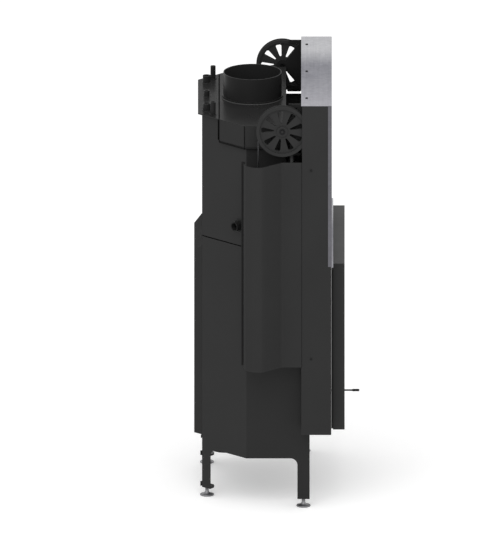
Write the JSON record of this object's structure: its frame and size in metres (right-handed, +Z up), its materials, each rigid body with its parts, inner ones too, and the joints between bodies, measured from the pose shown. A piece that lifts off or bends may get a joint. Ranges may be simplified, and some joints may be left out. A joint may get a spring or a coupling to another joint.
{
  "type": "fireplace insert",
  "caption": "Water-jacketed steel fireplace insert with a counterweighted lift-up glass door, round flue collar and levelling feet.",
  "frame": {"origin": "on the floor, under the middle of the bounding box", "axes": "-Y out of the glass door, +X across the door, +Z up"},
  "size_m": [0.993, 0.567, 1.4548],
  "materials": {
    "side_sheet_left": "satin dark grey heat-resistant paint on sheet steel",
    "side_sheet_right": "satin dark grey heat-resistant paint on sheet steel",
    "rear_sheet": "satin dark grey heat-resistant paint on sheet steel",
    "base_plate": "satin dark grey heat-resistant paint on sheet steel",
    "front_sheet": "matt black heat-resistant paint",
    "front_plate": "matt black heat-resistant paint",
    "firebox_shell": "matt black heat-resistant paint",
    "smoke_shelf": "matt black heat-resistant paint",
    "hearth_plate": "matt black heat-resistant paint",
    "water_jacket": "satin dark grey heat-resistant paint on sheet steel",
    "jacket_hood": "matt black heat-resistant paint",
    "jacket_top": "satin dark grey heat-resistant paint on sheet steel",
    "tube_plates": "matt black heat-resistant paint",
    "exchanger_tubes": "matt black heat-resistant paint",
    "dome_box": "satin dark grey heat-resistant paint on sheet steel",
    "flue_collar": "matt black heat-resistant paint",
    "rear_duct": "satin dark grey heat-resistant paint on sheet steel",
    "water_sockets": "matt black heat-resistant paint",
    "cooling_loop": "matt black heat-resistant paint",
    "sensor_sockets": "matt black heat-resistant paint",
    "air_spigot": "satin dark grey heat-resistant paint on sheet steel",
    "air_flap": "bright zinc plating",
    "air_rod": "bright zinc plating",
    "wall_lining": "pressed refractory, matt cream",
    "floor_bricks": "pressed refractory, matt cream",
    "grate": "rough cast iron",
    "ash_pan": "satin dark grey heat-resistant paint on sheet steel",
    "baffle": "pressed refractory, matt cream",
    "log_guard": "rough cast iron",
    "leg_plates": "satin dark grey heat-resistant paint on sheet steel",
    "leg_bolts": "bright zinc plating",
    "foot_front_left": "bright zinc plating",
    "foot_front_right": "bright zinc plating",
    "foot_rear_left": "bright zinc plating",
    "foot_rear_right": "bright zinc plating",
    "housing_panel_left": "satin dark grey heat-resistant paint on sheet steel",
    "housing_panel_right": "satin dark grey heat-resistant paint on sheet steel",
    "housing_floor": "satin dark grey heat-resistant paint on sheet steel",
    "header_rail": "satin dark grey heat-resistant paint on sheet steel",
    "guide_posts": "matt black heat-resistant paint",
    "front_cover": "galvanised sheet, slightly milky",
    "front_frame": "matt black heat-resistant paint",
    "housing_screws": "matt black heat-resistant paint",
    "weight_casings": "satin dark grey heat-resistant paint on sheet steel",
    "wheel_brackets": "matt black heat-resistant paint",
    "axles": "bright zinc plating",
    "wheel_left": "matt black heat-resistant paint",
    "wheel_right": "matt black heat-resistant paint",
    "cable_loops": "bright zinc plating",
    "cables_front": "bright zinc plating",
    "cable_weight_left": "bright zinc plating",
    "cable_weight_right": "bright zinc plating",
    "weight_left": "rough cast iron",
    "weight_right": "rough cast iron",
    "door_carriage": "matt black heat-resistant paint",
    "door_seal": "braided glass-fibre rope",
    "hinge_pins": "bright zinc plating",
    "door_leaf": "matt black heat-resistant paint",
    "door_glass": "clear ceramic glass, slightly amber",
    "door_handle": "matt black heat-resistant paint"
  },
  "bodies": {
    "insert": {"side_sheet_left": "side_sheet_left", "side_sheet_right": "side_sheet_right", "rear_sheet": "rear_sheet", "base_plate": "base_plate", "front_sheet": "front_sheet", "front_plate": "front_plate", "firebox_shell": "firebox_shell", "smoke_shelf": "smoke_shelf", "hearth_plate": "hearth_plate", "water_jacket": "water_jacket", "jacket_hood": "jacket_hood", "jacket_top": "jacket_top", "tube_plates": "tube_plates", "exchanger_tubes": "exchanger_tubes", "dome_box": "dome_box", "flue_collar": "flue_collar", "rear_duct": "rear_duct", "water_sockets": "water_sockets", "cooling_loop": "cooling_loop", "sensor_sockets": "sensor_sockets", "air_spigot": "air_spigot", "wall_lining": "wall_lining", "floor_bricks": "floor_bricks", "ash_pan": "ash_pan", "baffle": "baffle", "log_guard": "log_guard", "leg_plates": "leg_plates", "leg_bolts": "leg_bolts", "housing_panel_left": "housing_panel_left", "housing_panel_right": "housing_panel_right", "housing_floor": "housing_floor", "header_rail": "header_rail", "guide_posts": "guide_posts", "front_cover": "front_cover", "front_frame": "front_frame", "housing_screws": "housing_screws", "weight_casings": "weight_casings", "wheel_brackets": "wheel_brackets", "axles": "axles", "cable_loops": "cable_loops", "cables_front": "cables_front", "cable_weight_left": "cable_weight_left", "cable_weight_right": "cable_weight_right"},
    "door": {"door_carriage": "door_carriage", "door_seal": "door_seal", "hinge_pins": "hinge_pins"},
    "leaf": {"door_leaf": "door_leaf", "door_glass": "door_glass", "door_handle": "door_handle"},
    "weight_l": {"weight_left": "weight_left"},
    "weight_r": {"weight_right": "weight_right"},
    "wheel_l": {"wheel_left": "wheel_left"},
    "wheel_r": {"wheel_right": "wheel_right"},
    "foot_fl": {"foot_front_left": "foot_front_left"},
    "foot_fr": {"foot_front_right": "foot_front_right"},
    "foot_rl": {"foot_rear_left": "foot_rear_left"},
    "foot_rr": {"foot_rear_right": "foot_rear_right"},
    "grate": {"grate": "grate"},
    "air_rod": {"air_rod": "air_rod"},
    "air_flap": {"air_flap": "air_flap"}
  },
  "joints": [
    {"name": "door_lift", "type": "slide", "parent": "insert", "child": "door", "axis": [0, 0, 1], "range_m": [0, 0.51], "deforming": ["cables_front"]},
    {"name": "leaf_swing", "type": "hinge", "parent": "door", "child": "leaf", "pos_m": [-0.329, -0.1521, 0.574], "axis": [0, 0, 1], "range_deg": [-90, 0]},
    {"name": "weight_l_slide", "type": "slide", "parent": "insert", "child": "weight_l", "axis": [0, 0, -1], "range_m": [0, 0.51], "deforming": ["cable_weight_left"]},
    {"name": "wheel_l_turn", "type": "hinge", "parent": "insert", "child": "wheel_l", "pos_m": [-0.4155, -0.0185, 1.359], "axis": [-1, 0, 0], "range_deg": [0, 356]},
    {"name": "weight_r_slide", "type": "slide", "parent": "insert", "child": "weight_r", "axis": [0, 0, -1], "range_m": [0, 0.51], "deforming": ["cable_weight_right"]},
    {"name": "wheel_r_turn", "type": "hinge", "parent": "insert", "child": "wheel_r", "pos_m": [0.4155, -0.0185, 1.359], "axis": [-1, 0, 0], "range_deg": [0, 356]},
    {"name": "foot_fl_turn", "type": "hinge", "parent": "insert", "child": "foot_fl", "pos_m": [-0.341, -0.0915, 0.02], "axis": [0, 0, 1], "continuous": true},
    {"name": "foot_fr_turn", "type": "hinge", "parent": "insert", "child": "foot_fr", "pos_m": [0.341, -0.0915, 0.02], "axis": [0, 0, 1], "continuous": true},
    {"name": "foot_rl_turn", "type": "hinge", "parent": "insert", "child": "foot_rl", "pos_m": [-0.2035, 0.2395, 0.02], "axis": [0, 0, 1], "continuous": true},
    {"name": "foot_rr_turn", "type": "hinge", "parent": "insert", "child": "foot_rr", "pos_m": [0.2035, 0.2395, 0.02], "axis": [0, 0, 1], "continuous": true},
    {"name": "grate_lift", "type": "slide", "parent": "insert", "child": "grate", "axis": [0, 0, 1], "range_m": [0, 0.12]},
    {"name": "air_rod_pull", "type": "slide", "parent": "insert", "child": "air_rod", "axis": [0, -1, 0], "range_m": [0, 0.026]},
    {"name": "air_flap_turn", "type": "hinge", "parent": "insert", "child": "air_flap", "pos_m": [0, 0.1715, 0.1702], "axis": [1, 0, 0], "range_deg": [0, 90]}
  ],
  "couplings": [
    {"joint": "weight_l_slide", "follows": "door_lift", "ratio": 1},
    {"joint": "weight_r_slide", "follows": "door_lift", "ratio": 1},
    {"joint": "wheel_l_turn", "follows": "door_lift", "rad_per_m": 12.151},
    {"joint": "wheel_r_turn", "follows": "door_lift", "rad_per_m": 12.151},
    {"joint": "air_flap_turn", "follows": "air_rod_pull", "rad_per_m": 60.411}
  ]
}
